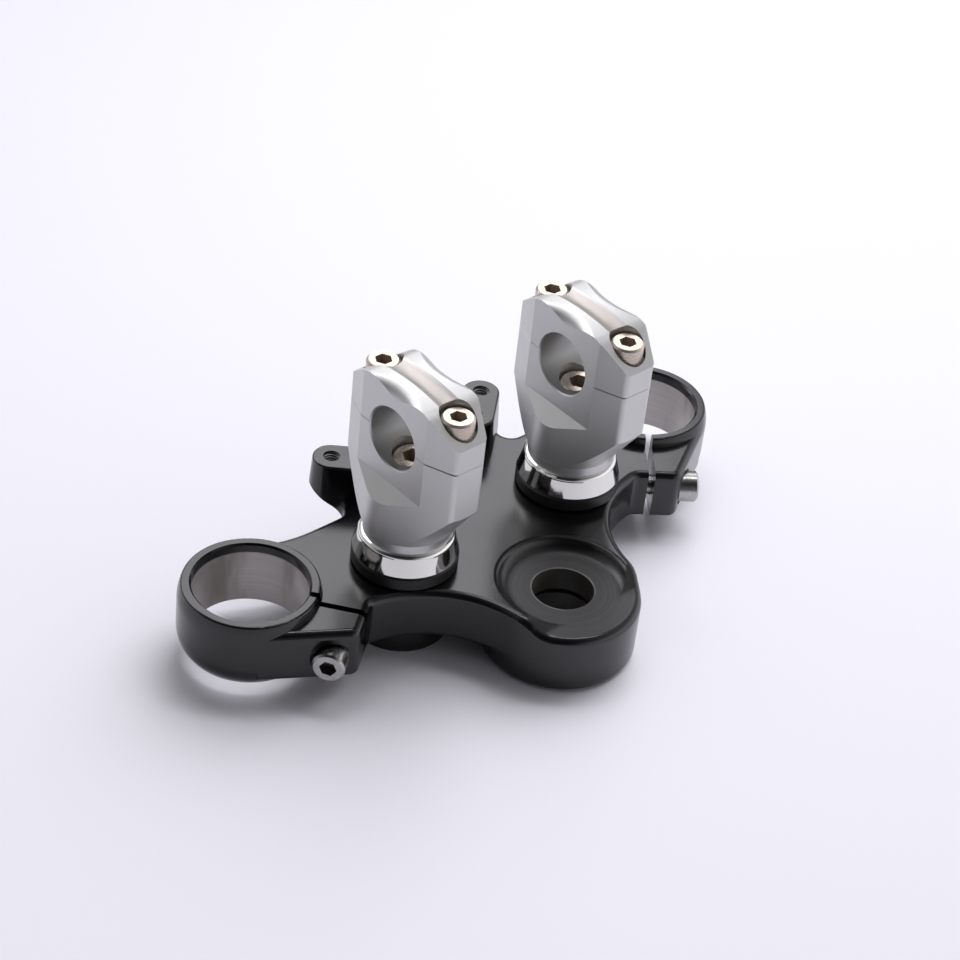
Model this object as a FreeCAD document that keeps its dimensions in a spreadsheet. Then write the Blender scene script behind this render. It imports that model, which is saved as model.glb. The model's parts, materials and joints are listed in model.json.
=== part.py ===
import FreeCAD, Part
import math
import os

import Sketcher

# Handlebar risers on a fork top yoke, in millimetres.
# Origin: the steering stem axis, on the plane that the yoke rests on.
# +X runs across the fork tubes, +Y forward and +Z up.

SIZES = {
    # fork clamps of the yoke
    "fork_spacing": 206.8,
    "fork_offset": 64.2,
    "fork_bore": 45.0,
    "ring_diameter": 55.6,
    "ring_top": 35.0,
    "ring_bottom": 6.5,
    "ring_edge": 1.0,
    "ring_draft": 1.2,
    "ring_draft_sweep": 21.0,
    "ring_foot_inset": 2.8,
    "ring_foot_sweep": 15.0,
    "bore_chamfer": 0.8,
    # split and pinch bolt of each fork clamp
    "slot_angle": 52.0,
    "slot_width": 2.8,
    "ear_reach": 45.5,
    "ear_inner": 6.5,
    "ear_outer": 11.5,
    "ear_corner": 4.0,
    "pinch_reach": 36.0,
    "pinch_height": 18.5,
    "pinch_seat": 13.0,
    "pinch_seat_diameter": 15.0,
    "pinch_depth": 26.0,
    # plate of the yoke
    "plate_top": 31.0,
    "plate_bottom": 9.0,
    "plate_edge": 3.0,
    "plate_foot_edge": 2.0,
    "waist_radius": 44.8,
    "waist_place": 75.0,
    "back_edge": 80.5,
    "back_radius": 50.0,
    # stem lobe
    "stem_bore": 24.5,
    "relief_height": 13.9,
    "relief_width": 2.2,
    "relief_depth": 1.5,
    "lobe_diameter": 62.0,
    "lobe_foot_edge": 3.5,
    "seat_floor": 26.3,
    "seat_diameter": 40.0,
    "seat_dish": 6.0,
    "seat_lip": 2.5,
    "run_out_start": -6.0,
    "run_out_end": -18.8,
    # lugs at the front of the yoke
    "lug_spacing": 78.8,
    "lug_offset": 96.9,
    "lug_radius": 7.6,
    "lug_length": 17.0,
    "lug_angle": 42.0,
    "lug_draft": 3.5,
    "lug_top": 46.6,
    "lug_bottom": 23.0,
    "lug_tip_bottom": 34.0,
    "lug_neck": 10.0,
    "lug_root": 12.0,
    "lug_blend": 5.0,
    "lug_edge": 0.8,
    "lug_hole": 6.8,
    "lug_hole_depth": 16.0,
    "inner_hole": 5.0,
    "inner_hole_depth": 10.0,
    "inner_hole_run": 16.0,
    # riser places and their rubber mounts
    "riser_spacing": 85.6,
    "riser_offset": 45.8,
    "bush_bore": 28.0,
    "bush_gap": 0.8,
    "bush_flange": 42.0,
    "bush_flange_edge": 1.2,
    "flange_height": 6.8,
    "under_boss": 40.0,
    "under_bore": 33.0,
    "under_floor": 16.5,
    "cup_height": 8.9,
    "cup_rim_diameter": 41.6,
    "cup_shoulder_diameter": 38.0,
    "cup_lip": 2.1,
    "cup_cavity": 36.0,
    "cup_roof": 3.5,
    "sleeve_diameter": 16.0,
    "lower_flange": 5.5,
    "washer_thickness": 2.0,
    "washer_diameter": 30.0,
    "nut_width": 17.0,
    "nut_height": 8.0,
    # riser body
    "neck_diameter": 34.8,
    "neck_height": 3.8,
    "cone_angle": 33.0,
    "hull_diameter": 36.0,
    "end_width": 14.0,
    "end_reach": 30.8,
    "end_corner": 2.5,
    "flat_width": 24.0,
    "flat_drop": 20.3,
    "bar_rise": 47.1,
    "bar_bore": 25.4,
    "bar_edge": 0.6,
    # riser cap
    "crown_rise": 22.8,
    "crown_radius": 90.0,
    "crown_end": 18.5,
    "crown_edge": 12.0,
    "facet_rise": 10.4,
    "side_round": 5.2,
    "waist_sweep": 25.0,
    "channel_radius": 9.0,
    "channel_depth": 1.3,
    "joint_chamfer": 0.35,
    # socket screws
    "cap_bolt_inset": 9.2,
    "cap_bolt_length": 30.0,
    "cap_bolt_rise": 10.9,
    "cap_bolt_room": 2.9,
    "small_thread": 8.0,
    "small_head": 13.0,
    "small_hex": 6.0,
    "small_bore": 15.0,
    "large_thread": 10.0,
    "large_head": 16.0,
    "large_hex": 8.0,
    "large_bore": 17.2,
    "screw_edge": 0.8,
    "thread_gap": 0.1,
    "hole_gap": 0.4,
    "head_gap": 0.2,
    "cut_margin": 2.0,
}

doc = FreeCAD.newDocument("handlebar_riser")
sheet = doc.addObject("Spreadsheet::Sheet", "Sizes")
for row, (alias, number) in enumerate(SIZES.items(), start=1):
    sheet.set(f"A{row}", alias)
    sheet.set(f"B{row}", str(number))
    sheet.setAlias(f"B{row}", alias)
doc.recompute()


class Dim:
    """A dimension: its number now, and the sheet expression that it is bound to."""

    def __init__(self, number, text):
        self.number = number
        self.text = text

    def __add__(self, other):
        other = dim(other)
        return Dim(self.number + other.number, f"({self.text} + {other.text})")

    def __sub__(self, other):
        other = dim(other)
        return Dim(self.number - other.number, f"({self.text} - {other.text})")

    def __mul__(self, other):
        other = dim(other)
        return Dim(self.number * other.number, f"({self.text} * {other.text})")

    def __truediv__(self, other):
        other = dim(other)
        return Dim(self.number / other.number, f"({self.text} / {other.text})")

    def __neg__(self):
        return Dim(-self.number, f"(0 - {self.text})")


def dim(value):
    return value if isinstance(value, Dim) else Dim(value, str(value))


def size(alias):
    return Dim(getattr(sheet, alias), f"Sizes.{alias}")


def sine(angle):
    return Dim(math.sin(math.radians(angle.number)), f"sin({angle.text} * 1 deg)")


def cosine(angle):
    return Dim(math.cos(math.radians(angle.number)), f"cos({angle.text} * 1 deg)")


def root(value):
    return Dim(math.sqrt(value.number), f"sqrt({value.text})")


def tangent_point(x, y, radius, turn):
    """Where a line from x, y touches a circle about the origin, on the side that turn names."""
    far = x * x + y * y
    leg = radius * root(far - radius * radius) * turn
    return (radius * radius * x + leg * y) / far, (radius * radius * y - leg * x) / far


ZERO = dim(0)
SIDES = {"left": -1, "right": 1}
THROUGH = size("fork_spacing")
HEX_CORNERS = 6


# Heights that the mounts and risers share

def cup_rim():
    return size("plate_top") + size("flange_height")


def cup_top():
    return cup_rim() + size("cup_height")


def bar_axis():
    return cup_top() + size("bar_rise")


def crown_top():
    return bar_axis() + size("crown_rise")


def cap_bolt_seat():
    return bar_axis() + size("cap_bolt_rise")


def riser_bolt_seat():
    """The bolt's head lies just clear of the handlebar."""
    return bar_axis() - size("bar_bore") / 2 - size("large_thread") - size("head_gap")


def washer_top():
    return size("under_floor") - size("lower_flange")


def nut_top():
    return washer_top() - size("washer_thickness")


# Sketches and features

def new_body(label, x=ZERO, y=ZERO, z=ZERO, rotation=FreeCAD.Rotation()):
    """A body whose place is bound to the sheet."""
    body = doc.addObject("PartDesign::Body", label)
    body.Label = label
    body.Placement = FreeCAD.Placement(FreeCAD.Vector(x.number, y.number, z.number), rotation)
    for axis, place in zip("xyz", (x, y, z)):
        body.setExpression(f"Placement.Base.{axis}", place.text)
    return body


def new_sketch(body, name, role, offset=None):
    """A sketch on one of the body's own planes, moved along the plane's normal by offset."""
    sketch = body.newObject("Sketcher::SketchObject", name)
    plane = next(item for item in body.Origin.OriginFeatures if item.Role == role)
    sketch.AttachmentSupport = [(plane, "")]
    sketch.MapMode = "FlatFace"
    if offset is not None:
        sketch.setExpression("AttachmentOffset.Base.z", offset.text)
    return sketch


def hold(sketch, kind, references, value):
    """Adds a dimension to a sketch and binds it to the sheet."""
    index = sketch.addConstraint(Sketcher.Constraint(kind, *references, value.number))
    sketch.setExpression(f"Constraints[{index}]", value.text)


def hold_point(sketch, edge, end, x, y):
    """Places one point of a sketch edge at x, y from the sketch's origin."""
    for kind, axis, value in (("DistanceX", -2, x), ("DistanceY", -1, y)):
        if value.text == "0":
            sketch.addConstraint(Sketcher.Constraint("PointOnObject", edge, end, axis))
        else:
            hold(sketch, kind, (-1, 1, edge, end), value)


def arc_between(start, end, radius, turn):
    """The short arc from start to end; it turns left where turn is 1 and right where turn is -1."""
    chord = end - start
    rise = math.sqrt(max(radius * radius - chord.Length * chord.Length / 4, 0))
    left = FreeCAD.Vector(-chord.y, chord.x, 0).normalize()
    centre = (start + end) * 0.5 + left * (rise * turn)
    first, last = (start, end) if turn > 0 else (end, start)
    angles = [math.atan2(point.y - centre.y, point.x - centre.x) for point in (first, last)]
    circle = Part.Circle(centre, FreeCAD.Vector(0, 0, 1), radius)
    return Part.ArcOfCircle(circle, angles[0], angles[1])


def outline(sketch, corners):
    """A closed outline; a corner is x, y, and where an arc leads to it, also radius and turn."""
    points = [FreeCAD.Vector(corner[0].number, corner[1].number, 0) for corner in corners]
    ends = []
    for index, corner in enumerate(corners):
        start = points[index - 1]
        end = points[index]
        if len(corner) == 2:
            edge = sketch.addGeometry(Part.LineSegment(start, end), False)
            ends.append((edge, 1, 2))
            continue
        radius, turn = corner[2:]
        edge = sketch.addGeometry(arc_between(start, end, radius.number, turn), False)
        ends.append((edge, 1, 2) if turn > 0 else (edge, 2, 1))
    for index, (edge, _, last) in enumerate(ends):
        following, first, _ = ends[(index + 1) % len(ends)]
        sketch.addConstraint(Sketcher.Constraint("Coincident", edge, last, following, first))
        hold_point(sketch, edge, last, *corners[index][:2])
        if len(corners[index]) > 2:
            hold(sketch, "Radius", (edge,), corners[index][2])


def circle(sketch, x, y, radius):
    centre = FreeCAD.Vector(x.number, y.number, 0)
    edge = sketch.addGeometry(Part.Circle(centre, FreeCAD.Vector(0, 0, 1), radius.number), False)
    hold_point(sketch, edge, 3, x, y)
    hold(sketch, "Radius", (edge,), radius)


def hexagon(sketch, width):
    """A hexagon about the sketch's origin, width across its flats."""
    corner = width / math.sqrt(3)
    angles = [dim(360 / HEX_CORNERS * step) for step in range(HEX_CORNERS)]
    outline(sketch, [(corner * cosine(angle), corner * sine(angle)) for angle in angles])


def solid_volume(body):
    return body.Tip.Shape.Volume if body.Tip else 0


def check_change(body, item, before):
    """Stops the build where a cut takes nothing away or an added form adds nothing."""
    grown = solid_volume(body) - before
    adds = item.TypeId in ("PartDesign::Pad", "PartDesign::Revolution")
    if near(grown, 0) or (grown > 0) != adds:
        raise RuntimeError(f"{item.Name} changed the volume by {grown:.3f} mm3")


def extrude(body, kind, sketch, length, both=False, flip=False, taper=None):
    """A Pad or a Pocket of a sketch; both goes length / 2 each way, taper narrows it as it goes."""
    before = solid_volume(body)
    item = body.newObject(f"PartDesign::{kind}", f"{sketch.Name}_{kind}")
    item.Profile = sketch
    item.SideType = "Symmetric" if both else "One side"
    item.Reversed = flip
    item.setExpression("Length", length.text)
    if taper is not None:
        item.setExpression("TaperAngle", f"(0 - {taper.text}) * 1 deg")
    doc.recompute()
    check_change(body, item, before)
    return item


def revolve(body, kind, sketch, axis="V_Axis"):
    """A Revolution or a Groove of a sketch, all the way round."""
    before = solid_volume(body)
    item = body.newObject(f"PartDesign::{kind}", f"{sketch.Name}_{kind}")
    item.Profile = sketch
    item.ReferenceAxis = (sketch, [axis])
    item.Angle = 360
    doc.recompute()
    check_change(body, item, before)
    return item


def dress(body, kind, name, length, chosen):
    """A Fillet or a Chamfer on the edges of the body's tip that chosen accepts."""
    tip = body.Tip
    names = [f"Edge{number}" for number, edge in enumerate(tip.Shape.Edges, start=1) if chosen(edge)]
    item = body.newObject(f"PartDesign::{kind}", name)
    item.Base = (tip, names)
    item.setExpression("Radius" if kind == "Fillet" else "Size", length.text)
    doc.recompute()
    return item


def near(value, target):
    return abs(value - target) < 0.01


def at_height(edge, height):
    """True for an edge that lies in the level plane at that height."""
    return all(near(vertex.Z, height.number) for vertex in edge.Vertexes)


def is_circle(edge, radius):
    """True for a circle of that radius; an edge that has shrunk to a point has no curve."""
    return (not edge.Degenerated and isinstance(edge.Curve, Part.Circle)
            and near(edge.Curve.Radius, radius.number))


def is_upright(edge):
    ends = [vertex.Point for vertex in edge.Vertexes]
    return len(ends) == 2 and near(ends[0].x, ends[1].x) and near(ends[0].y, ends[1].y)


# Turned and threaded pieces

def turned(label, corners, x, y):
    """A piece turned about an upright axis; corners are radius and height."""
    body = new_body(label, x, y)
    sketch = new_sketch(body, f"{label}_profile", "XZ_Plane")
    outline(sketch, corners)
    revolve(body, "Revolution", sketch)
    return body


def socket_screw(label, thread, length, head, hexagon_width, place, rotation=FreeCAD.Rotation()):
    """A socket head cap screw, seated at place, with its head along its own +Z.

    The head is as high as the thread is wide.
    """
    body = new_body(label, *place, rotation)
    edge = size("screw_edge")
    profile = new_sketch(body, f"{label}_profile", "XZ_Plane")
    outline(profile, [
        (ZERO, -length),
        (thread / 2 - edge, -length),
        (thread / 2, edge - length),
        (thread / 2, ZERO),
        (head / 2, ZERO),
        (head / 2, thread - edge),
        (head / 2 - edge, thread),
        (ZERO, thread),
    ])
    revolve(body, "Revolution", profile)
    socket = new_sketch(body, f"{label}_socket", "XY_Plane", thread)
    hexagon(socket, hexagon_width)
    extrude(body, "Pocket", socket, thread / 2)
    return body


# Fork top yoke

def slot_axes(side):
    """Directions at a clamp: along its slot, out from the fork axis, and across it towards the bolt head."""
    angle = size("slot_angle")
    along = (cosine(angle) * -side, -sine(angle))
    across = (sine(angle) * side, -cosine(angle))
    return along, across


def clamp_point(side, reach, shift):
    """A point beside a fork clamp: reach along its slot, shift across it."""
    along, across = slot_axes(side)
    x = size("fork_spacing") / 2 * side + along[0] * reach + across[0] * shift
    y = size("fork_offset") + along[1] * reach + across[1] * shift
    return x, y


def plate_half(side):
    """The yoke's outline on one side, from the stem lobe to the middle of the front edge."""
    lobe = size("lobe_diameter") / 2
    waist = size("waist_radius")
    waist_x = size("waist_place")
    reach = lobe + waist
    waist_y = -root(reach * reach - waist_x * waist_x)
    ring = size("ring_diameter") / 2
    ear = (size("ear_reach"), size("ear_outer"))
    back = size("back_radius")
    back_y = size("back_edge") + back
    fork_x = size("fork_spacing") / 2
    fork_y = size("fork_offset")
    tangent = ring + back
    back_x = fork_x - root(tangent * tangent - (back_y - fork_y) * (back_y - fork_y))
    return [
        (waist_x * lobe / reach * side, waist_y * lobe / reach),
        (*clamp_point(side, size("ear_reach"), -size("ear_inner")), waist, -side),
        clamp_point(side, *ear),
        clamp_point(side, *tangent_point(*ear, ring, -1)),
        (fork_x * side, fork_y),
        ((fork_x + (back_x - fork_x) * ring / tangent) * side, fork_y + (back_y - fork_y) * ring / tangent),
        (back_x * side, size("back_edge"), back, -side),
    ]


def plate_outline():
    """The whole outline, anticlockwise from the left of the stem lobe."""
    right = plate_half(1)
    left = plate_half(-1)
    lobe = size("lobe_diameter") / 2
    corners = [(*right[0], lobe, 1)] + right[1:]
    mirrored = left[::-1]
    for index, corner in enumerate(mirrored):
        arc = mirrored[index - 1][2:] if index else ()
        corners.append((*corner[:2], *((arc[0], -1) if arc else ())))
    return corners


def make_yoke():
    body = new_body("top_yoke")
    plate_top = size("plate_top")
    plate_bottom = size("plate_bottom")
    lobe = size("lobe_diameter") / 2
    fork_x = size("fork_spacing") / 2
    fork_y = size("fork_offset")

    plate = new_sketch(body, "plate", "XY_Plane", plate_bottom)
    outline(plate, plate_outline())
    extrude(body, "Pad", plate, plate_top - plate_bottom)

    corners = [clamp_point(side, size("ear_reach"), shift)
               for side in SIDES.values() for shift in (-size("ear_inner"), size("ear_outer"))]
    places = [(x.number, y.number) for x, y in corners]
    dress(body, "Fillet", "ear_corners", size("ear_corner"), lambda edge: is_upright(edge) and any(
        near(edge.Vertexes[0].X, x) and near(edge.Vertexes[0].Y, y) for x, y in places))

    # Feet that carry the lugs, blended into the plate's front wall
    for name, side in SIDES.items():
        foot = new_sketch(body, f"foot_{name}", "XY_Plane", size("lug_bottom"))
        outline(foot, lug_outline(side, size("lug_length") + size("lug_root")))
        extrude(body, "Pad", foot, plate_top - size("lug_bottom"), taper=size("lug_draft"))
    dress(body, "Fillet", "foot_blends", size("lug_blend"), lambda edge: (
        all(near(vertex.Y, SIZES["back_edge"]) for vertex in edge.Vertexes)
        and near(abs(edge.Vertexes[0].Z - edge.Vertexes[-1].Z), SIZES["plate_top"] - SIZES["lug_bottom"])))

    # The rim of the stem seat runs out towards the rear
    run_out = new_sketch(body, "run_out", "YZ_Plane")
    floor = size("seat_floor")
    start = size("run_out_start")
    end = size("run_out_end")
    drop = plate_top - floor
    length = start - end
    sweep = (length * length + drop * drop) / (drop * 4)
    outline(run_out, [
        (start, plate_top),
        ((start + end) / 2, (plate_top + floor) / 2, sweep, 1),
        (end, floor, sweep, -1),
        (-lobe * 2, floor),
        (-lobe * 2, plate_top + lobe),
        (start, plate_top + lobe),
    ])
    extrude(body, "Pocket", run_out, lobe * 4, both=True)

    creases = [start.number, end.number, (start.number + end.number) / 2]
    dress(body, "Fillet", "plate_rim", size("plate_edge"), lambda edge: (
        min(vertex.Z for vertex in edge.Vertexes) > floor.number - 0.01
        and not is_upright(edge)
        and not any(near(vertex.Y, fork_y.number) for vertex in edge.Vertexes)
        and not any(all(near(vertex.Y, y) for vertex in edge.Vertexes) for y in creases)))

    dress(body, "Fillet", "plate_foot", size("plate_foot_edge"), lambda edge: (
        at_height(edge, plate_bottom)
        and not any(near(vertex.Y, fork_y.number) for vertex in edge.Vertexes)))

    # Lobe under the stem seat
    foot = size("lobe_foot_edge")
    lobe_top = (plate_bottom + floor) / 2
    lobe_profile = new_sketch(body, "lobe", "XZ_Plane")
    outline(lobe_profile, [
        (ZERO, ZERO),
        (lobe - foot, ZERO),
        (lobe, foot, foot, 1),
        (lobe, lobe_top),
        (ZERO, lobe_top),
    ])
    revolve(body, "Revolution", lobe_profile)

    # Fork rings
    for name, side in SIDES.items():
        ring_section = new_sketch(body, f"ring_{name}", "XZ_Plane")
        ring_section.setExpression("AttachmentOffset.Base.x", (fork_x * side).text)
        ring_section.setExpression("AttachmentOffset.Base.z", (-fork_y).text)
        outline(ring_section, ring_profile())
        revolve(body, "Revolution", ring_section)

    # Bosses under the plate that hold the lower bushes
    bosses = new_sketch(body, "under_bosses", "XY_Plane")
    for side in SIDES.values():
        circle(bosses, size("riser_spacing") / 2 * side, size("riser_offset"), size("under_boss") / 2)
    extrude(body, "Pad", bosses, plate_bottom)

    # Raised lugs
    for name, side in SIDES.items():
        lug = new_sketch(body, f"lug_{name}", "XY_Plane", size("lug_bottom"))
        outline(lug, lug_outline(side, size("lug_length")))
        extrude(body, "Pad", lug, size("lug_top") - size("lug_bottom"), taper=size("lug_draft"))
        cut_lug_foot(body, name, side)
    dress(body, "Fillet", "lug_rims", size("lug_edge"), lambda edge: at_height(edge, size("lug_top")))

    # Bores
    bores = new_sketch(body, "fork_bores", "XY_Plane")
    for side in SIDES.values():
        circle(bores, fork_x * side, fork_y, size("fork_bore") / 2)
    extrude(body, "Pocket", bores, THROUGH, both=True)
    dress(body, "Chamfer", "bore_rims", size("bore_chamfer"),
          lambda edge: is_circle(edge, size("fork_bore") / 2))

    seat = new_sketch(body, "stem_seat", "XZ_Plane")
    outline(seat, seat_profile())
    revolve(body, "Groove", seat)
    holes = new_sketch(body, "upright_holes", "XY_Plane")
    circle(holes, ZERO, ZERO, size("stem_bore") / 2)
    for side in SIDES.values():
        circle(holes, size("riser_spacing") / 2 * side, size("riser_offset"), size("bush_bore") / 2)
    extrude(body, "Pocket", holes, THROUGH, both=True)
    cut_relief(body)
    sinks = new_sketch(body, "under_bores", "XY_Plane")
    for side in SIDES.values():
        circle(sinks, size("riser_spacing") / 2 * side, size("riser_offset"), size("under_bore") / 2)
    extrude(body, "Pocket", sinks, size("under_floor"), flip=True)

    tapped = new_sketch(body, "lug_holes", "XY_Plane", size("lug_top"))
    for side in SIDES.values():
        circle(tapped, size("lug_spacing") / 2 * side, size("lug_offset"), size("lug_hole") / 2)
    extrude(body, "Pocket", tapped, size("lug_hole_depth"))
    inner = new_sketch(body, "lug_inner_holes", "XY_Plane", size("lug_top"))
    for side in SIDES.values():
        first, along = lug_axis(side)
        run = size("inner_hole_run")
        circle(inner, first[0] + along[0] * run, first[1] + along[1] * run, size("inner_hole") / 2)
    extrude(body, "Pocket", inner, size("inner_hole_depth"))

    for name, side in SIDES.items():
        cut_clamp(body, name, side)
    return body


def ring_profile():
    """Section of a fork ring: its wall curves inwards to a rounded rim at the top, and to its foot."""
    ring = size("ring_diameter") / 2
    top = size("ring_top")
    bottom = size("ring_bottom")
    edge = size("ring_edge")
    foot_inset = size("ring_foot_inset")
    foot_sweep = size("ring_foot_sweep")
    foot_rise = root(foot_inset * (foot_sweep * 2 - foot_inset))
    draft = size("ring_draft")
    sweep = size("ring_draft_sweep")
    rise = root(draft * (sweep * 2 - draft))
    # The rim's rounding goes on from the slope that the wall has reached
    rim = top - edge + edge * rise / sweep
    flat = ring - draft - edge * (sweep - draft) / sweep
    return [
        (ZERO, bottom),
        (ring - foot_inset, bottom),
        (ring, bottom + foot_rise, foot_sweep, 1),
        (ring, rim - rise),
        (ring - draft, rim, sweep, 1),
        (flat, top, edge, 1),
        (ZERO, top),
    ]


def lug_axis(side):
    """The place of a lug's threaded hole, and the level direction from it back towards the plate."""
    angle = size("lug_angle")
    return (size("lug_spacing") / 2 * side, size("lug_offset")), (cosine(angle) * -side, -sine(angle))


def lug_outline(side, run):
    """A slanting slot shape that runs from the threaded hole back and inwards, as wide as the lug's foot."""
    draft = sine(size("lug_draft")) / cosine(size("lug_draft"))
    radius = size("lug_radius") + (size("lug_top") - size("lug_bottom")) * draft
    first, along = lug_axis(side)
    shift = (-along[1] * radius, along[0] * radius)
    second = (first[0] + along[0] * run, first[1] + along[1] * run)
    return [
        (first[0] + shift[0], first[1] + shift[1]),
        (first[0] - along[0] * radius, first[1] - along[1] * radius, radius, 1),
        (first[0] - shift[0], first[1] - shift[1], radius, 1),
        (second[0] - shift[0], second[1] - shift[1]),
        (second[0] + along[0] * radius, second[1] + along[1] * radius, radius, 1),
        (second[0] + shift[0], second[1] + shift[1], radius, 1),
    ]


def cut_lug_foot(body, name, side):
    """Slopes the underside of a lug up towards its free end."""
    radius = size("lug_radius")
    first, _ = lug_axis(side)
    sketch = new_sketch(body, f"lug_foot_{name}", "XZ_Plane")
    turn = FreeCAD.Rotation(FreeCAD.Vector(0, 1, 0), SIZES["lug_angle"] * side)
    sketch.AttachmentOffset = FreeCAD.Placement(FreeCAD.Vector(), turn)
    sketch.setExpression("AttachmentOffset.Base.x", first[0].text)
    sketch.setExpression("AttachmentOffset.Base.z", (-first[1]).text)
    tip = radius * side
    bend = size("lug_neck") * -side
    outline(sketch, [
        (bend, size("lug_bottom")),
        (tip, size("lug_tip_bottom")),
        (tip * 2, size("lug_tip_bottom")),
        (tip * 2, ZERO),
        (bend, ZERO),
    ])
    extrude(body, "Pocket", sketch, radius * 3, both=True)


def seat_profile():
    """Section of the stem seat: a floor, a dished wall and a rounded lip up to the plate's top."""
    floor = size("seat_floor")
    top = size("plate_top")
    dish = size("seat_dish")
    lip = size("seat_lip")
    radius = size("seat_diameter") / 2
    rise = top - floor
    # Where the two arcs meet, both have the same slope
    lean = (dish + lip - rise) / (dish + lip)
    run = root(dim(1) - lean * lean)
    meet = (radius + dish * run, floor + dish - dish * lean)
    end = radius + (dish + lip) * run
    return [(ZERO, floor), (radius, floor), (*meet, dish, 1), (end, top, lip, -1),
            (end, top + rise), (ZERO, top + rise)]


def cut_relief(body):
    """A relief groove round the stem bore."""
    sketch = new_sketch(body, "bore_relief", "XZ_Plane")
    radius = size("stem_bore") / 2 + size("relief_depth")
    bottom = size("relief_height")
    top = bottom + size("relief_width")
    outline(sketch, [(ZERO, bottom), (radius, bottom), (radius, top), (ZERO, top)])
    revolve(body, "Groove", sketch)


def cut_clamp(body, name, side):
    """The slot of one fork clamp, and the seat and holes of its pinch bolt."""
    slot = new_sketch(body, f"slot_{name}", "XY_Plane")
    half = size("slot_width") / 2
    reach = size("ear_reach") * 2
    corners = [clamp_point(side, ZERO, half * -side), clamp_point(side, reach, half * -side),
               clamp_point(side, reach, half * side), clamp_point(side, ZERO, half * side)]
    outline(slot, corners)
    extrude(body, "Pocket", slot, THROUGH, both=True)

    x, y = clamp_point(side, size("pinch_reach"), size("pinch_seat"))
    thread = size("small_thread")
    depths = (
        ("seat", size("pinch_seat_diameter") / 2, size("pinch_reach"), True),
        ("clearance", thread / 2 + size("hole_gap"), size("pinch_seat"), False),
        ("thread", thread / 2 + size("thread_gap"), size("pinch_depth"), False),
    )
    for part, radius, depth, outward in depths:
        sketch = new_sketch(body, f"pinch_{part}_{name}", "XZ_Plane")
        turn = FreeCAD.Rotation(FreeCAD.Vector(0, 1, 0), SIZES["slot_angle"] * side)
        sketch.AttachmentOffset = FreeCAD.Placement(FreeCAD.Vector(), turn)
        sketch.setExpression("AttachmentOffset.Base.x", x.text)
        sketch.setExpression("AttachmentOffset.Base.y", size("pinch_height").text)
        sketch.setExpression("AttachmentOffset.Base.z", (-y).text)
        circle(sketch, ZERO, ZERO, radius)
        extrude(body, "Pocket", sketch, depth, flip=outward)


# Handlebar risers

def hull_outline():
    """Plan of a riser: a round middle with straight flanks that narrow to flat ends."""
    radius = size("hull_diameter") / 2
    x = size("end_width") / 2
    y = size("end_reach")
    tangent_x, tangent_y = tangent_point(x, y, radius, 1)
    return [
        (x, y),
        (-x, y),
        (-tangent_x, tangent_y),
        (-tangent_x, -tangent_y, radius, 1),
        (-x, -y),
        (x, -y),
        (tangent_x, -tangent_y),
        (tangent_x, tangent_y, radius, 1),
    ]


def trim_to_hull(body, label):
    """Cuts away all that lies outside the riser's plan, then rounds the four end corners."""
    sketch = new_sketch(body, f"{label}_plan", "XY_Plane")
    circle(sketch, ZERO, ZERO, size("end_reach") * 2)
    outline(sketch, hull_outline())
    extrude(body, "Pocket", sketch, crown_top() * 4, both=True)
    x = SIZES["end_width"] / 2
    y = SIZES["end_reach"]
    dress(body, "Fillet", f"{label}_corners", size("end_corner"), lambda edge: is_upright(edge) and near(
        abs(edge.Vertexes[0].X), x) and near(abs(edge.Vertexes[0].Y), y))


def cut_flats(body, label, foot):
    """Mills both sides flat down to foot; the cutter leaves them at 45 degrees below it."""
    flat = size("flat_width") / 2
    run_out = size("hull_diameter") / 2 - flat + size("cut_margin")
    top = crown_top() * 2
    for name, side in SIDES.items():
        sketch = new_sketch(body, f"{label}_flat_{name}", "XZ_Plane")
        corners = [(flat * side, top), (flat * side, foot),
                   ((flat + run_out) * side, foot - run_out), ((flat + run_out) * side, top)]
        outline(sketch, corners)
        extrude(body, "Pocket", sketch, size("end_reach") * 4, both=True)


def cut_bar(body, label):
    """The handlebar bore, centred on the joint between body and cap."""
    sketch = new_sketch(body, f"{label}_bar", "YZ_Plane")
    circle(sketch, ZERO, bar_axis(), size("bar_bore") / 2)
    extrude(body, "Pocket", sketch, size("hull_diameter") * 2, both=True)
    dress(body, "Chamfer", f"{label}_bar_rims", size("bar_edge"), lambda edge: is_circle(
        edge, size("bar_bore") / 2) and near(abs(edge.Curve.Center.x), SIZES["flat_width"] / 2))


def cut_upright(body, name, radius, places, top, depth):
    """Round holes straight down from a height."""
    sketch = new_sketch(body, name, "XY_Plane", top)
    for y in places:
        circle(sketch, ZERO, y, radius)
    extrude(body, "Pocket", sketch, depth)


def bolt_places():
    """Where the cap screws stand along the riser, inset from its ends."""
    place = size("end_reach") - size("cap_bolt_inset")
    return place, -place


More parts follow.
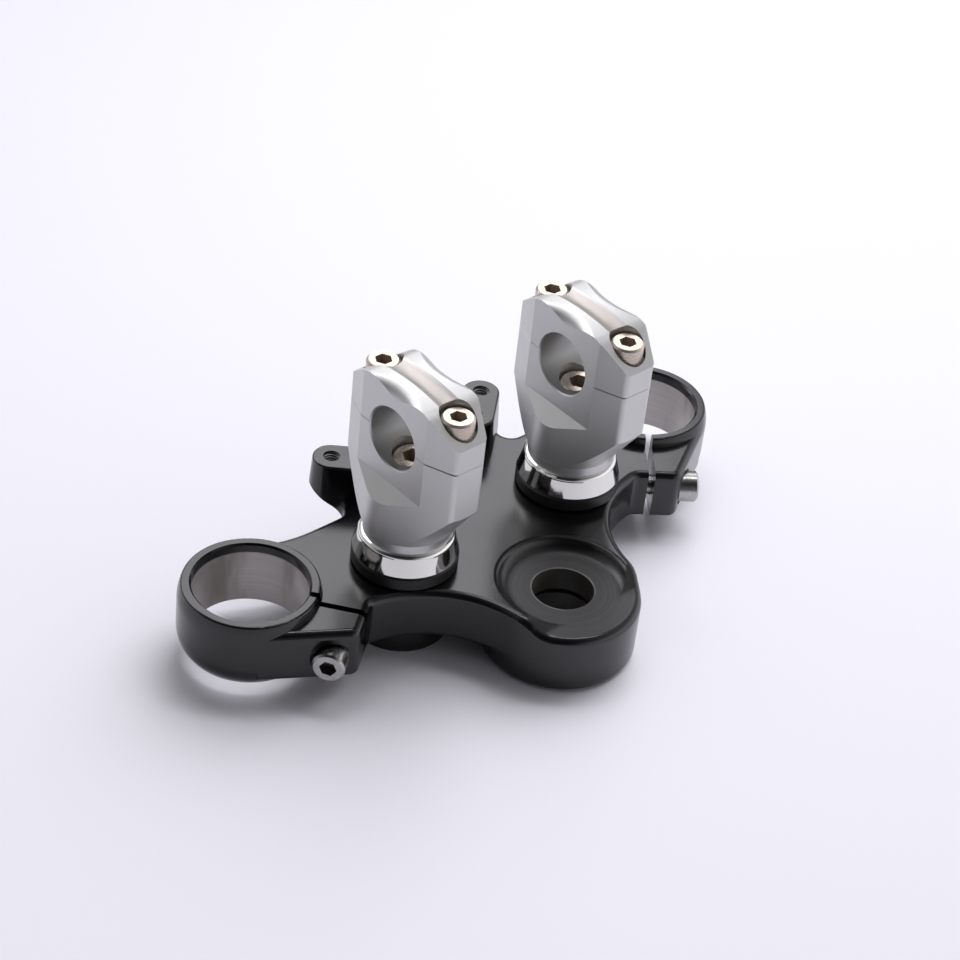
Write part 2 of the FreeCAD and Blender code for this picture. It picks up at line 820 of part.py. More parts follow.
def make_riser_body(name, x, y):
    label = f"riser_body_{name}"
    body = new_body(label, x, y)
    neck = size("neck_diameter") / 2
    base = cup_top()
    joint = bar_axis()
    cone = base + size("neck_height")
    wide = size("end_reach") + size("end_width") / 2
    lean = sine(size("cone_angle")) / cosine(size("cone_angle"))
    profile = new_sketch(body, f"{label}_profile", "XZ_Plane")
    outline(profile, [
        (ZERO, base),
        (neck, base),
        (neck, cone),
        (wide, cone + (wide - neck) / lean),
        (wide, joint),
        (ZERO, joint),
    ])
    revolve(body, "Revolution", profile)
    trim_to_hull(body, label)
    cut_flats(body, label, joint - size("flat_drop"))
    dress(body, "Chamfer", f"{label}_joint", size("joint_chamfer"), lambda edge: at_height(edge, joint))
    cut_bar(body, label)
    seat = size("large_bore") / 2
    cut_upright(body, f"{label}_bolt_seat", seat, (ZERO,), joint, joint - riser_bolt_seat())
    bolt = size("large_thread") / 2 + size("hole_gap")
    cut_upright(body, f"{label}_bolt_hole", bolt, (ZERO,), joint, joint)
    thread = size("small_thread") / 2 + size("thread_gap")
    depth = size("cap_bolt_length") - size("cap_bolt_rise") + size("cap_bolt_room")
    cut_upright(body, f"{label}_cap_holes", thread, bolt_places(), joint, depth)
    return body


def make_riser_cap(name, x, y):
    label = f"riser_cap_{name}"
    body = new_body(label, x, y)
    joint = bar_axis()
    top = crown_top()
    reach = size("end_reach")
    radius = size("crown_radius")
    end = size("crown_end")
    shoulder = top - radius + root(radius * radius - end * end)
    side_view = new_sketch(body, f"{label}_side", "YZ_Plane")
    outline(side_view, [
        (reach, joint),
        (reach, joint + size("facet_rise")),
        (end, shoulder),
        (-end, shoulder, radius, 1),
        (-reach, joint + size("facet_rise")),
        (-reach, joint),
    ])
    extrude(body, "Pad", side_view, size("hull_diameter") * 2, both=True)
    dress(body, "Fillet", f"{label}_crown", size("crown_edge"), lambda edge: (
        at_height(edge, shoulder) and near(edge.Vertexes[0].Y, edge.Vertexes[1].Y)))
    trim_to_hull(body, label)
    cut_flats(body, label, cup_top())
    dress(body, "Chamfer", f"{label}_joint", size("joint_chamfer"), lambda edge: at_height(edge, joint))
    round_crown_sides(body, label)

    # Shallow channel that follows the crown between the bolts
    channel = new_sketch(body, f"{label}_channel", "XZ_Plane")
    hollow = size("channel_radius")
    channel.setExpression("AttachmentOffset.Base.y", (top - radius).text)
    circle(channel, ZERO, radius + hollow - size("channel_depth"), hollow)
    revolve(body, "Groove", channel, "H_Axis")

    cut_bar(body, label)
    thread = size("small_thread")
    cut_upright(body, f"{label}_head_seats", size("small_bore") / 2, bolt_places(), top * 2,
                top * 2 - cap_bolt_seat())
    cut_upright(body, f"{label}_bolt_holes", thread / 2 + size("hole_gap"), bolt_places(), top, top)
    return body


def round_crown_sides(body, label):
    """Rounds the crown's long edges; the cut sinks with the crown and swings out, so the crown is waisted.

    It is turned about a leaning axis. Its path bends outwards by waist_sweep and downwards by crown_radius.
    """
    flat = size("flat_width") / 2
    top = crown_top()
    radius = size("side_round")
    crown = size("crown_radius")
    sweep = size("waist_sweep")
    slant = root(crown * crown + sweep * sweep)
    path = crown * sweep / slant
    for name, side in SIDES.items():
        sketch = new_sketch(body, f"{label}_round_{name}", "XZ_Plane")
        centre = ((flat + path * crown / slant) * side, top - path * sweep / slant)
        far = (centre[0] + sweep * side, centre[1] + crown)
        axis = sketch.addGeometry(Part.LineSegment(
            FreeCAD.Vector(centre[0].number, centre[1].number, 0),
            FreeCAD.Vector(far[0].number, far[1].number, 0)), True)
        hold_point(sketch, axis, 1, *centre)
        hold_point(sketch, axis, 2, *far)
        outline(sketch, [
            ((flat - radius) * side, top),
            (flat * side, top - radius, radius, -side),
            ((flat + radius) * side, top - radius),
            ((flat + radius) * side, top + radius),
            ((flat - radius) * side, top + radius),
        ])
        revolve(body, "Groove", sketch, "Axis0")


# Rubber mount under each riser

def make_mount(name, x, y):
    plate = size("plate_top")
    rim = cup_rim()
    top = cup_top()
    lip = size("cup_lip")
    roof = top - size("cup_roof")
    sleeve = size("sleeve_diameter") / 2
    bolt = size("large_thread") / 2 + size("hole_gap")
    bore = size("bush_bore") / 2
    cavity = size("cup_cavity") / 2
    flange = size("bush_flange") / 2
    edge = size("bush_flange_edge")
    under = size("under_floor")
    middle = (plate + under) / 2
    shoulder = size("cup_shoulder_diameter") / 2
    neck = size("neck_diameter") / 2
    made = [
        turned(f"bush_cup_{name}", [
            (bolt, roof),
            (cavity, roof),
            (cavity, rim),
            (size("cup_rim_diameter") / 2, rim),
            (shoulder, top - lip),
            (neck, top, lip, 1),
            (bolt, top),
        ], x, y),
        turned(f"upper_bush_{name}", [
            (sleeve, middle + size("bush_gap") / 2),
            (bore, middle + size("bush_gap") / 2),
            (bore, plate),
            (flange - edge, plate),
            (flange, plate + edge),
            (flange, rim - edge),
            (flange - edge, rim),
            (cavity, rim),
            (cavity, roof),
            (sleeve, roof),
        ], x, y),
        turned(f"bush_sleeve_{name}", [
            (bolt, washer_top()),
            (sleeve, washer_top()),
            (sleeve, roof),
            (bolt, roof),
        ], x, y),
        turned(f"lower_bush_{name}", [
            (sleeve, washer_top()),
            (size("under_bore") / 2, washer_top()),
            (size("under_bore") / 2, under),
            (bore, under),
            (bore, middle - size("bush_gap") / 2),
            (sleeve, middle - size("bush_gap") / 2),
        ], x, y),
        turned(f"lower_washer_{name}", [
            (bolt, nut_top()),
            (size("washer_diameter") / 2, nut_top()),
            (size("washer_diameter") / 2, washer_top()),
            (bolt, washer_top()),
        ], x, y),
    ]
    nut = new_body(f"riser_nut_{name}", x, y)
    flats = new_sketch(nut, f"riser_nut_{name}_flats", "XY_Plane", nut_top() - size("nut_height"))
    hexagon(flats, size("nut_width"))
    extrude(nut, "Pad", flats, size("nut_height"))
    hole = new_sketch(nut, f"riser_nut_{name}_hole", "XY_Plane", nut_top())
    circle(hole, ZERO, ZERO, size("large_thread") / 2 + size("thread_gap"))
    extrude(nut, "Pocket", hole, size("nut_height"))
    return made + [nut]


def make_screws(name, side, x, y):
    small = size("small_thread")
    large = size("large_thread")
    made = []
    for end, shift in zip(("front", "rear"), bolt_places()):
        place = (x, y + shift, cap_bolt_seat())
        made.append(socket_screw(f"cap_bolt_{end}_{name}", small, size("cap_bolt_length"),
                                 size("small_head"), size("small_hex"), place))
    # The riser bolt ends flush with its nut
    length = riser_bolt_seat() - nut_top() + size("nut_height")
    made.append(socket_screw(f"riser_bolt_{name}", large, length, size("large_head"), size("large_hex"),
                             (x, y, riser_bolt_seat())))
    _, across = slot_axes(side)
    out = FreeCAD.Vector(across[0].number, across[1].number, 0)
    place = (*clamp_point(side, size("pinch_reach"), size("pinch_seat")), size("pinch_height"))
    length = size("pinch_depth") - small / 4
    turn = FreeCAD.Rotation(FreeCAD.Vector(0, 0, 1), out)
    made.append(socket_screw(f"pinch_bolt_{name}", small, length, size("small_head"), size("small_hex"),
                             place, turn))
    return made


pieces = [make_yoke()]
for side_name, side_sign in SIDES.items():
    riser_x = size("riser_spacing") / 2 * side_sign
    riser_y = size("riser_offset")
    pieces.append(make_riser_body(side_name, riser_x, riser_y))
    pieces.append(make_riser_cap(side_name, riser_x, riser_y))
    pieces += make_mount(side_name, riser_x, riser_y)
    pieces += make_screws(side_name, side_sign, riser_x, riser_y)
doc.recompute()

faults = [item.Name for item in doc.Objects if {"Invalid", "Error"} & set(item.State)]
faults += [item.Label for item in pieces if item.Shape.isNull() or not item.Shape.isValid()]
if faults:
    raise RuntimeError(f"failed: {faults}")

os.makedirs("parts", exist_ok=True)
for item in pieces:
    item.Shape.exportStep(os.path.join("parts", f"{item.Label}.step"))
    print(f"{item.Label}: {len(item.Shape.Solids)} solid, {item.Shape.Volume:.0f} mm3")
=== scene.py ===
import json
import math

import bpy
import numpy as np
from mathutils import Matrix, Vector


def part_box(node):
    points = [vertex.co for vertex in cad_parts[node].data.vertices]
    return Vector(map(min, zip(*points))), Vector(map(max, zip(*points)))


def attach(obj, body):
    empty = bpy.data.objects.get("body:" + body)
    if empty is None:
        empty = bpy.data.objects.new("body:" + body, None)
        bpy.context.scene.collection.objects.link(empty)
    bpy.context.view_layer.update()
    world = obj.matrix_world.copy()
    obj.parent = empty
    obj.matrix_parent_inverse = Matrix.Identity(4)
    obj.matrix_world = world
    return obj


# Handlebar risers on a fork top yoke: finishes, threads, table, light and camera. Lengths are in metres.

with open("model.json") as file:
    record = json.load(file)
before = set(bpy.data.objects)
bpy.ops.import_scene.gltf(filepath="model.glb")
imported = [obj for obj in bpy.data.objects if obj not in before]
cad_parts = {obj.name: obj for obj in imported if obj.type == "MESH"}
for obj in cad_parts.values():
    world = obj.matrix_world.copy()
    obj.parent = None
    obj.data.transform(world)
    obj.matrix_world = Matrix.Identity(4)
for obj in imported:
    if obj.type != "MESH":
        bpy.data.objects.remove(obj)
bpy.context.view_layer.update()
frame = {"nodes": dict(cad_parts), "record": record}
nodes = frame["nodes"]
mounts = {mount["name"]: mount for mount in frame["record"]["mounts"]}


def radius_of(mount):
    return mounts[mount]["dims"]["r_mm"] / 1000


def length_of(mount):
    return mounts[mount]["dims"]["length_mm"] / 1000


def middle_of(node):
    low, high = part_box(node)
    return [(first + last) / 2 for first, last in zip(low, high)]


def top_of(node):
    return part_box(node)[1][2]


# Places on the part that the finishes follow; those beside the middle are on the +X side
FORK_X, FORK_Y, FORK_Z = mounts["fork_clamp_right"]["pos_m"]
FORK_BORE = radius_of("fork_clamp_right")
LIP_DEPTH = 0.0030
LIP_FADE = 0.0008
BARE_TOP = FORK_Z + length_of("fork_clamp_right") / 2 - LIP_DEPTH

RISER_X = middle_of("riser_body_right")[0]
BAR_Y, BAR_Z = mounts["bar_clamp"]["pos_m"][1:]
BAR_BORE = radius_of("bar_clamp")
CROWN_TOP = top_of("riser_cap_right")
CHANNEL_HALF = 0.0046
CHANNEL_FADE = 0.3 * CHANNEL_HALF
CHANNEL_FLOOR = CROWN_TOP - 0.0050
CHANNEL_RIM = CROWN_TOP - 0.0035

STEM_BORE = radius_of("stem_bore")
SEAT_FLOOR_Z = 0.0263
SEAT_RIM_RADIUS = 0.0276
LAND_RADIUS = 0.0290

# Hexagon sockets: middle of the mouth, direction out of it, radius and depth
M8_SOCKET = (0.0035, 0.0041)
M10_SOCKET = (0.0047, 0.0051)
UP = (0, 0, 1)
PINCH_MOUTH = (0.09778, 0.02290, 0.0185)
PINCH_OUTWARD = (0.7880, -0.6157, 0)
SCREW_FROM_BAR = middle_of("cap_bolt_front_right")[1] - BAR_Y
CAP_SOCKET = ((RISER_X, SCREW_FROM_BAR, top_of("cap_bolt_front_right")), UP, *M8_SOCKET)
RISER_SOCKET = ((RISER_X, 0.0, top_of("riser_bolt_right")), UP, *M10_SOCKET)
PINCH_SOCKET = (PINCH_MOUTH, PINCH_OUTWARD, *M8_SOCKET)

# Widths over which one finish fades into the next, and how far past a bore's wall its finish reaches
FADE = 0.0002
FLOOR_FADE = 0.0005
WIDE_FADE = 0.0015
PAST_WALL = 0.0003
PAST_BAR_WALL = 0.0001

# Pitch of the coarse threads
M8_PITCH = 0.00125
M6_PITCH = 0.0010

# Camera that took the photograph
CAMERA_TARGET = Vector((0.01016, 0.06233, 0.0350))
CAMERA_AZIMUTH = -45.076
CAMERA_ELEVATION = 37.720
CAMERA_ROLL = 6.716
CAMERA_DISTANCE = 1.0379
CAMERA_LENS = 96.80
SENSOR = 36.0


# Shader building

def new_finish(name, **values):
    """A material with a Principled shader; values are that shader's own sockets."""
    material = bpy.data.materials.new(name)
    material.use_nodes = True
    shader = material.node_tree.nodes["Principled BSDF"]
    for socket, value in values.items():
        shader.inputs[socket.replace("_", " ")].default_value = value
    return material, material.node_tree, shader


def add_node(tree, kind, inputs=None, **settings):
    """A shader node; inputs gives each socket a number, a colour or another node's output."""
    made = tree.nodes.new(kind)
    for key, value in settings.items():
        setattr(made, key, value)
    for socket, value in (inputs or {}).items():
        if isinstance(value, bpy.types.NodeSocket):
            tree.links.new(value, made.inputs[socket])
        else:
            made.inputs[socket].default_value = value
    return made


def math_node(tree, operation, first, second=0.0):
    return add_node(tree, "ShaderNodeMath", {0: first, 1: second}, operation=operation).outputs[0]


def vector_node(tree, operation, first, second=None, output="Value"):
    inputs = {0: first} if second is None else {0: first, 1: second}
    return add_node(tree, "ShaderNodeVectorMath", inputs, operation=operation).outputs[output]


def place(tree, scale=(1, 1, 1)):
    """The point on the part, in metres, with each axis stretched by scale."""
    point = add_node(tree, "ShaderNodeTexCoord").outputs["Object"]
    return add_node(tree, "ShaderNodeMapping", {"Vector": point, "Scale": scale}).outputs[0]


def parts_of(tree, point):
    """The x, y and z of a point."""
    return add_node(tree, "ShaderNodeSeparateXYZ", {0: point}).outputs


def point_from(tree, x=0.0, y=0.0, z=0.0):
    return add_node(tree, "ShaderNodeCombineXYZ", {0: x, 1: y, 2: z}).outputs[0]


def folded(tree, point, middle=None):
    """The point with its left half folded onto the right and, about y = middle, its rear onto the front."""
    x, y, z = parts_of(tree, point)
    if middle is not None:
        y = math_node(tree, "ABSOLUTE", math_node(tree, "SUBTRACT", y, middle))
    return point_from(tree, math_node(tree, "ABSOLUTE", x), y, z)


def noise(tree, point, scale=1.0, detail=2.0, roughness=0.5):
    """Cloudy values from 0 to 1, about 1 / scale metres across."""
    inputs = {"Vector": point, "Scale": scale, "Detail": detail, "Roughness": roughness}
    return add_node(tree, "ShaderNodeTexNoise", inputs).outputs[0]


def between(tree, value, low, high, start=0.0, end=1.0):
    """Carries value from the range low to high over to start to end, smoothly, and holds it there."""
    inputs = {"Value": value, "From Min": low, "From Max": high, "To Min": start, "To Max": end}
    return add_node(tree, "ShaderNodeMapRange", inputs, interpolation_type="SMOOTHSTEP").outputs[0]


def below(tree, value, edge, fade=FADE):
    """1 where value is under the edge and 0 above it, fading out just before the edge."""
    return between(tree, value, edge - fade, edge, start=1.0, end=0.0)


def both(tree, first, second):
    return math_node(tree, "MULTIPLY", first, second)


def opaque(colour):
    """A colour written as red, green and blue gets its alpha of 1; a node's output stays as it is."""
    return (*colour, 1) if isinstance(colour, tuple) else colour


def mix_colour(tree, factor, first, second):
    """A colour from first, where the factor is 0, to second, where it is 1."""
    inputs = {0: factor, 6: opaque(first), 7: opaque(second)}
    return add_node(tree, "ShaderNodeMix", inputs, data_type="RGBA").outputs[2]


def mix_value(tree, factor, first, second):
    return add_node(tree, "ShaderNodeMix", {0: factor, 2: first, 3: second}).outputs[0]


def bump(tree, height, distance, strength):
    inputs = {"Height": height, "Distance": distance, "Strength": strength}
    return add_node(tree, "ShaderNodeBump", inputs).outputs[0]


def connect(tree, shader, **sockets):
    for name, value in sockets.items():
        tree.links.new(value, shader.inputs[name.replace("_", " ")])


def in_socket(tree, point, mouth, outward, radius, depth):
    """1 inside a hexagon socket and 0 elsewhere.

    The run along the socket's axis and, by Pythagoras, the distance from that axis decide."""
    rim = 0.00005
    offset = vector_node(tree, "SUBTRACT", point, mouth, output="Vector")
    run = vector_node(tree, "DOT_PRODUCT", offset, outward)
    length = vector_node(tree, "LENGTH", offset)
    square = math_node(tree, "SUBTRACT", both(tree, length, length), both(tree, run, run))
    near_axis = math_node(tree, "LESS_THAN", square, radius * radius)
    under_mouth = math_node(tree, "LESS_THAN", run, -rim)
    above_floor = math_node(tree, "GREATER_THAN", run, -depth)
    return both(tree, near_axis, both(tree, under_mouth, above_floor))


# Finishes

def bare_bore(tree):
    """Colour and turning lines of the bare fork bores, smeared with brown."""
    lines = noise(tree, place(tree, (18, 18, 2600)), detail=4.0, roughness=0.65)
    smear = noise(tree, place(tree, (90, 90, 22)), detail=3.0)
    turned = mix_colour(tree, lines, (0.50, 0.47, 0.455), (0.84, 0.81, 0.79))
    return mix_colour(tree, between(tree, smear, 0.48, 0.80), turned, (0.42, 0.37, 0.34)), lines


def seat_floor(tree, point, from_stem, cloud):
    """Colour and turned rings of the stem seat's floor: dull and speckled, with a painted highlight round
    the bore's edge.
    """
    rings = noise(tree, point_from(tree, from_stem), 1100.0)
    specks = between(tree, noise(tree, point, 1900.0, detail=4.0, roughness=0.7), 0.62, 0.74)
    dull = mix_colour(tree, between(tree, rings, 0.35, 0.65), (0.024, 0.024, 0.025), (0.042, 0.042, 0.043))
    dull = mix_colour(tree, specks, dull, (0.095, 0.093, 0.091))
    # Painted highlight: a thin lighter band on the floor round the bore's edge, in patches.
    highlight_width = 0.0008
    near_bore_rim = below(tree, from_stem, STEM_BORE + highlight_width, FLOOR_FADE)
    painted_rim_highlight = both(tree, near_bore_rim, between(tree, cloud, 0.35, 0.6))
    return mix_colour(tree, painted_rim_highlight, dull, (0.20, 0.195, 0.19)), rings


def black_coat():
    """Semi-gloss black coating with a fine orange peel, dull in the stem seat; the fork bores are bare."""
    seat_rough, floor_rough, stem_bore_rough, bare_rough = 0.30, 0.46, 0.38, 0.42
    bare_metal = 0.8
    peel_share = 0.35
    material, tree, shader = new_finish("yoke_black_coat", IOR=1.5, Specular_IOR_Level=0.64)
    point = place(tree)
    height = parts_of(tree, point)[2]
    from_stem = vector_node(tree, "LENGTH", place(tree, (1, 1, 0)))
    cloud = noise(tree, point, 38.0, detail=3.0)
    colour = mix_colour(tree, cloud, (0.003, 0.003, 0.0038), (0.006, 0.006, 0.0072))
    rough = between(tree, cloud, 0.3, 0.7, start=0.16, end=0.22)
    peel = both(tree, noise(tree, point, 620.0, detail=3.0), peel_share)

    in_seat = below(tree, from_stem, SEAT_RIM_RADIUS, WIDE_FADE)
    rough = mix_value(tree, in_seat, rough, seat_rough)
    above_floor = 0.0006
    at_floor = below(tree, height, SEAT_FLOOR_Z + above_floor, FLOOR_FADE)
    on_floor = both(tree, below(tree, from_stem, LAND_RADIUS, WIDE_FADE), at_floor)
    floor_colour, rings = seat_floor(tree, point, from_stem, cloud)
    colour = mix_colour(tree, on_floor, colour, floor_colour)
    rough = mix_value(tree, on_floor, rough, floor_rough)
    grain = mix_value(tree, on_floor, peel, rings)

    in_stem_bore = below(tree, from_stem, STEM_BORE + PAST_WALL)
    colour = mix_colour(tree, in_stem_bore, colour, (0.075, 0.068, 0.060))
    rough = mix_value(tree, in_stem_bore, rough, stem_bore_rough)

    x, y, _ = parts_of(tree, folded(tree, point))
    from_fork = vector_node(tree, "DISTANCE", point_from(tree, x, y), (FORK_X, FORK_Y, 0))
    under_lip = below(tree, height, BARE_TOP + FADE, LIP_FADE)
    bored = both(tree, below(tree, from_fork, FORK_BORE + PAST_WALL), under_lip)
    bare_colour, lines = bare_bore(tree)
    connect(
        tree,
        shader,
        Base_Color=mix_colour(tree, bored, colour, bare_colour),
        Metallic=both(tree, bored, bare_metal),
        Roughness=mix_value(tree, bored, rough, bare_rough),
        Normal=bump(tree, mix_value(tree, bored, grain, lines), distance=0.00009, strength=0.5),
    )
    return material


def satin_silver():
    """Satin silver anodised aluminium with faint cutter lines, with painted shade in the bar bore and
    painted shade and a brownish painted reflection in the channel.
    """
    material, tree, shader = new_finish("riser_satin_silver", Metallic=0.85, Anisotropic=0.2)
    point = place(tree)
    cutter = noise(tree, place(tree, (60, 60, 3400)), detail=3.0, roughness=0.6)
    grain = noise(tree, point, 2600.0)
    cloud = noise(tree, point, 55.0)
    colour = mix_colour(tree, cloud, (0.57, 0.567, 0.56), (0.62, 0.617, 0.61))

    from_bar = vector_node(tree, "DISTANCE", place(tree, (0, 1, 1)), (0, BAR_Y, BAR_Z))
    in_bar_bore = math_node(tree, "LESS_THAN", from_bar, BAR_BORE + PAST_BAR_WALL)
    # Painted shade: the inside of the bar bore is darker.
    colour = mix_colour(tree, in_bar_bore, colour, (0.34, 0.337, 0.333))

    x, _, z = parts_of(tree, folded(tree, point))
    to_side = math_node(tree, "ABSOLUTE", math_node(tree, "SUBTRACT", x, RISER_X))
    narrow = below(tree, to_side, CHANNEL_HALF, CHANNEL_FADE)
    in_channel = both(tree, narrow, between(tree, z, CHANNEL_FLOOR, CHANNEL_RIM))
    # Painted shade and a painted brownish reflection: the channel is darker and beige.
    colour = mix_colour(tree, in_channel, colour, (0.44, 0.41, 0.385))

    cutter_share = 0.6
    texture = math_node(tree, "ADD", grain, both(tree, cutter, cutter_share))
    connect(
        tree,
        shader,
        Base_Color=colour,
        Roughness=between(tree, texture, 0.5, 1.1, start=0.36, end=0.46),
        Normal=bump(tree, cutter, distance=0.00001, strength=0.35),
    )
    return material


def bright_chrome():
    """Mirror chrome with the faintest waviness of the polish."""
    material, tree, shader = new_finish("cup_bright_chrome", Metallic=1.0)
    point = place(tree)
    ripple = noise(tree, point, 240.0)
    haze = noise(tree, point, 900.0)
    connect(
        tree,
        shader,
        Base_Color=mix_colour(tree, haze, (0.74, 0.72, 0.70), (0.80, 0.785, 0.77)),
        Roughness=between(tree, haze, 0.3, 0.8, start=0.05, end=0.09),
        Normal=bump(tree, ripple, distance=0.00003, strength=0.25),
    )
    return material


def bush_rubber():
    """Matt black rubber with a fine moulded grain and a little bloom."""
    material, tree, shader = new_finish("bush_black_rubber", IOR=1.45)
    point = place(tree)
    grain = noise(tree, point, 1500.0, detail=3.0)
    bloom = noise(tree, point, 70.0, detail=3.0)
    connect(
        tree,
        shader,
        Base_Color=mix_colour(tree, bloom, (0.007, 0.007, 0.007), (0.014, 0.0138, 0.0135)),
        Roughness=between(tree, bloom, 0.3, 0.7, start=0.42, end=0.56),
        Normal=bump(tree, grain, distance=0.00006, strength=0.5),
    )
    return material


def screw_steel(name, dark, light, smooth, rough, metal=1.0, sockets=(), socket_shade_colour=None):
    """Plated steel with turning lines and an uneven tint, from dark to light and from smooth to rough.

    Each socket comes with the y about which front and rear screws mirror each other, or None. Inside each
    socket a darker colour is painted as shade."""
    socket_rough = 0.4
    material, tree, shader = new_finish(name, Metallic=metal, Anisotropic=0.3)
    point = place(tree)
    lines = noise(tree, place(tree, (420, 420, 5200)), detail=3.0, roughness=0.6)
    tint = noise(tree, point, 260.0, detail=3.0)
    colour = mix_colour(tree, tint, dark, light)
    gloss = between(tree, lines, 0.3, 0.7, smooth, rough)
    for socket, middle in sockets:
        inside = in_socket(tree, folded(tree, point, middle), *socket)
        # Painted shade: the inside of the socket gets the darker colour.
        colour = mix_colour(tree, inside, colour, socket_shade_colour)
        gloss = mix_value(tree, inside, gloss, socket_rough)
    connect(
        tree,
        shader,
        Base_Color=colour,
        Roughness=gloss,
        Normal=bump(tree, lines, distance=0.000012, strength=0.3),
    )
    return material


def cut_thread():
    """Bare aluminium thread, with a painted highlight on its crests and painted shade between them.

    The crest attribute is 1 on a crest and 0 at a root."""
    material, tree, shader = new_finish("lug_cut_thread", Metallic=0.7, Roughness=0.38)
    crest = add_node(tree, "ShaderNodeAttribute", attribute_name="crest").outputs["Fac"]
    # Painted highlight and shade: light on each crest, near black at each root.
    painted_crest_light = between(tree, crest, 0.35, 0.75)
    connect(tree, shader, Base_Color=mix_colour(tree, painted_crest_light, (0.02, 0.02, 0.02), (0.74, 0.73, 0.72)))
    return material


def table_white():
    """A plain pale table top, white with a breath of lavender."""
    material, tree, shader = new_finish("table_white", Roughness=0.55)
    cloud = noise(tree, place(tree), 3.0)
    connect(tree, shader, Base_Color=mix_colour(tree, cloud, (0.875, 0.865, 0.935), (0.89, 0.88, 0.945)))
    return material


FINISHES = {
    "yoke_black": black_coat(),
    "riser_silver": satin_silver(),
    "cup_chrome": bright_chrome(),
    "bush_rubber": bush_rubber(),
    "bolt_steel": screw_steel(
        "bolt_warm_nickel",
        dark=(0.53, 0.455, 0.385),
        light=(0.64, 0.565, 0.49),
        smooth=0.22,
        rough=0.34,
        metal=0.72,
        sockets=((CAP_SOCKET, BAR_Y), (RISER_SOCKET, BAR_Y)),
        # The darker colour painted inside the sockets as shade
        socket_shade_colour=(0.46, 0.39, 0.33),
    ),
    "pinch_steel": screw_steel(
        "pinch_plain_steel",
        dark=(0.34, 0.33, 0.32),
        light=(0.56, 0.55, 0.54),
        smooth=0.20,
        rough=0.32,
        sockets=((PINCH_SOCKET, None),),
        # The darker colour painted inside the socket as shade
        socket_shade_colour=(0.24, 0.23, 0.22),
    ),
    "plated_steel": screw_steel(
        "plated_zinc",
        dark=(0.48, 0.48, 0.49),
        light=(0.62, 0.62, 0.63),
        smooth=0.24,
        rough=0.38,
    ),
}
CUT_THREAD = cut_thread()

for entry in frame["record"]["subparts"]:
    mesh = nodes[entry["node"]].data
    mesh.materials.clear()
    mesh.materials.append(FINISHES[entry["material_slot"]])


# Surfaces worked out on a grid

def grid_piece(name, points, finish):
    """An object whose mesh joins a grid of points along its rows and columns."""
    rows, columns = points.shape[:2]
    index = np.arange(rows * columns).reshape(rows, columns)
    corners = [index[:-1, :-1], index[:-1, 1:], index[1:, 1:], index[1:, :-1]]
    quads = np.stack(corners, -1).reshape(-1, 4)
    mesh = bpy.data.meshes.new(name)
    mesh.from_pydata(points.reshape(-1, 3).tolist(), [], quads.tolist())
    mesh.materials.append(finish)
    mesh.polygons.foreach_set("use_smooth", np.ones(len(quads), bool))
    piece = bpy.data.objects.new(name, mesh)
    bpy.context.collection.objects.link(piece)
    return piece


def lug_thread(name, hole, pitch):
    """The thread in a lug's hole: its radius falls from wall to crest as a triangle wave of depth plus turn.

    The wave has one period per pitch, so its crests climb in a helix; it fades in below the mouth."""
    crest = 0.42 * pitch
    clear = 0.00003
    mouth = 0.0002
    end_gap = 0.0002
    rows, columns = 220, 49
    x, y, z = mounts[hole]["pos_m"]
    depth = length_of(hole)
    turn = np.linspace(0, 2 * np.pi, columns)[None, :]
    drop = np.linspace(0, depth - end_gap, rows)[:, None]
    phase = (drop / pitch + turn / (2 * np.pi)) % 1.0
    wave = 1 - np.abs(2 * phase - 1)
    fade = np.clip((drop - mouth) / (pitch / 2), 0, 1)
    radius = radius_of(hole) - clear - crest * wave * fade
    height = np.broadcast_to(z + depth / 2 - drop, radius.shape)
    points = np.stack([x + radius * np.cos(turn), y + radius * np.sin(turn), height], -1)
    piece = grid_piece(name, points, CUT_THREAD)
    # The crest value also sets the thread's painted highlight and shade.
    piece.data.attributes.new("crest", "FLOAT", "POINT").data.foreach_set("value", (wave * fade).ravel())
    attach(piece, "root")


for side in ("left", "right"):
    lug_thread(f"lug_thread_{side}", f"lug_hole_{side}", M8_PITCH)
    lug_thread(f"inner_thread_{side}", f"inner_hole_{side}", M6_PITCH)


# Table and light

def table():
    """A level square far wider than the view, at the height of the part's underside."""
    half = 40.0
    steps = 9
    line = np.linspace(-half, half, steps)
    x, y = np.meshgrid(line, line)
    piece = grid_piece("table", np.stack([x, y, np.zeros_like(x)], -1), table_white())


def towards(azimuth, elevation):
    """A direction in degrees, as a vector; azimuth runs from +X towards +Y."""
    turn = math.radians(azimuth)
    rise = math.radians(elevation)
    return Vector((math.cos(turn) * math.cos(rise), math.sin(turn) * math.cos(rise), math.sin(rise)))


def hang(lamp, direction, distance=0.0):
    """Puts a lamp that way from the camera's target, facing it."""
    holder = bpy.data.objects.new(lamp.name, lamp)
    holder.location = CAMERA_TARGET + direction * distance
    holder.rotation_euler = direction.to_track_quat("Z", "Y").to_euler()
    bpy.context.collection.objects.link(holder)
    return holder


def far_light(name, azimuth, elevation, spread, strength):
    """A broad, far lamp that lights the whole table evenly and that glossy pieces don't show."""
    lamp = bpy.data.lights.new(name, "SUN")
    lamp.angle = math.radians(spread)
    lamp.energy = strength
    hang(lamp, towards(azimuth, elevation)).visible_glossy = False


def softbox(name, azimuth, elevation, distance, width, height, power, mirrored=True, on_table=True):
    """A rectangular lamp. Glossy pieces show it if mirrored, and it lights matt ones if on_table."""
    lamp = bpy.data.lights.new(name, "AREA")
    lamp.shape = "RECTANGLE"
    lamp.size = width
    lamp.size_y = height
    lamp.energy = power
    lamp.color = (0.965, 0.965, 1.0)
    holder = hang(lamp, towards(azimuth, elevation), distance)
    holder.visible_glossy = mirrored
    holder.visible_diffuse = on_table


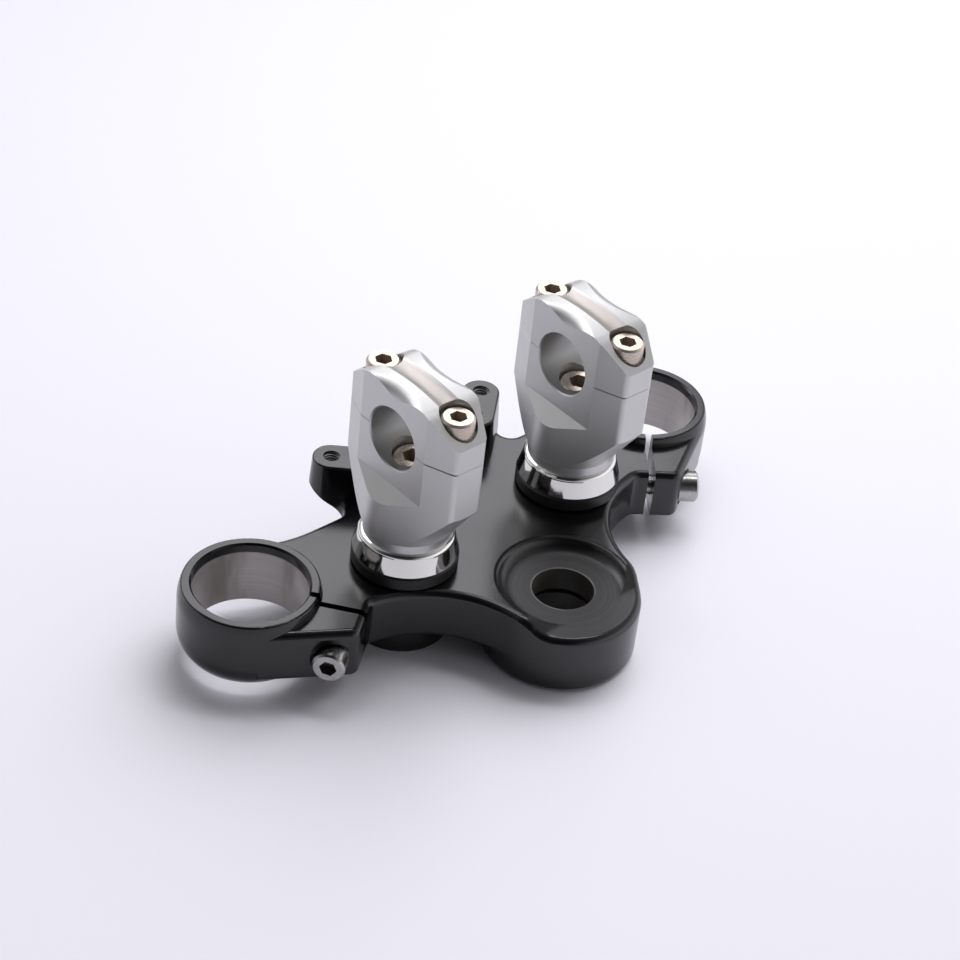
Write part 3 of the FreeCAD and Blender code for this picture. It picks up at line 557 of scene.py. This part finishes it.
def room():
    """A dim room, paler near the horizon and darkest in front.

    It has a pale wall to the right, and a pale patch high on the left and on the right."""
    world = bpy.data.worlds.new("room")
    world.use_nodes = True
    tree = world.node_tree
    direction = add_node(tree, "ShaderNodeTexCoord").outputs["Generated"]
    rise = parts_of(tree, direction)[2]
    to_front = vector_node(tree, "DOT_PRODUCT", direction, (-0.70, -0.70, 0.14))
    to_right = vector_node(tree, "DOT_PRODUCT", direction, (0.71, -0.70, 0.0))
    high_left = vector_node(tree, "DOT_PRODUCT", direction, (-0.215, 0.661, 0.719))
    high_right = vector_node(tree, "DOT_PRODUCT", direction, (0.571, 0.050, 0.819))

    walls = both(tree, between(tree, rise, 0.05, 0.75, start=0.55, end=0.12),
                 between(tree, to_front, 0.1, 0.75, start=1.0, end=0.12))
    right_wall = both(tree, between(tree, to_right, 0.2, 0.9, end=0.90),
                      between(tree, rise, 0.15, 0.75, start=1.0, end=0.25))
    level = math_node(tree, "ADD", walls, right_wall)
    level = math_node(tree, "ADD", level, between(tree, high_left, 0.72, 0.97, end=0.28))
    level = math_node(tree, "ADD", level, between(tree, high_right, 0.75, 0.97, end=0.22))
    background = tree.nodes["Background"].inputs
    tree.links.new(level, background["Strength"])
    background["Color"].default_value = (0.97, 0.97, 1.0, 1)
    bpy.context.scene.world = world


table()
softbox("back_left_softbox", azimuth=76, elevation=44, distance=1.15, width=1.50, height=0.60, power=7.5,
        on_table=False)
softbox("right_fill", azimuth=14, elevation=49, distance=1.30, width=1.4, height=1.2, power=8.8,
        mirrored=False)
far_light("window_light", azimuth=16, elevation=49, spread=55, strength=1.02)
softbox("overhead_strip", azimuth=45, elevation=74, distance=1.20, width=0.9, height=0.16, power=2.6)
room()


# Camera

def camera():
    """Looks at the target from the photograph's azimuth and elevation, then rolls about its own axis."""
    turn = math.radians(CAMERA_AZIMUTH)
    rise = math.radians(CAMERA_ELEVATION)
    roll = math.radians(CAMERA_ROLL)
    back = Vector((math.sin(turn) * math.cos(rise), -math.cos(turn) * math.cos(rise), math.sin(rise)))
    right = Vector((math.cos(turn), math.sin(turn), 0))
    up = back.cross(right)
    rolled_right = right * math.cos(roll) + up * math.sin(roll)
    rolled_up = up * math.cos(roll) - right * math.sin(roll)
    axes = Matrix((rolled_right, rolled_up, back)).transposed().to_4x4()
    data = bpy.data.cameras.new("camera")
    data.lens = CAMERA_LENS
    data.sensor_width = SENSOR
    holder = bpy.data.objects.new("camera", data)
    holder.matrix_world = Matrix.Translation(CAMERA_TARGET + back * CAMERA_DISTANCE) @ axes
    bpy.context.collection.objects.link(holder)
    bpy.context.scene.camera = holder


camera()
bpy.context.scene.view_settings.view_transform = "Standard"
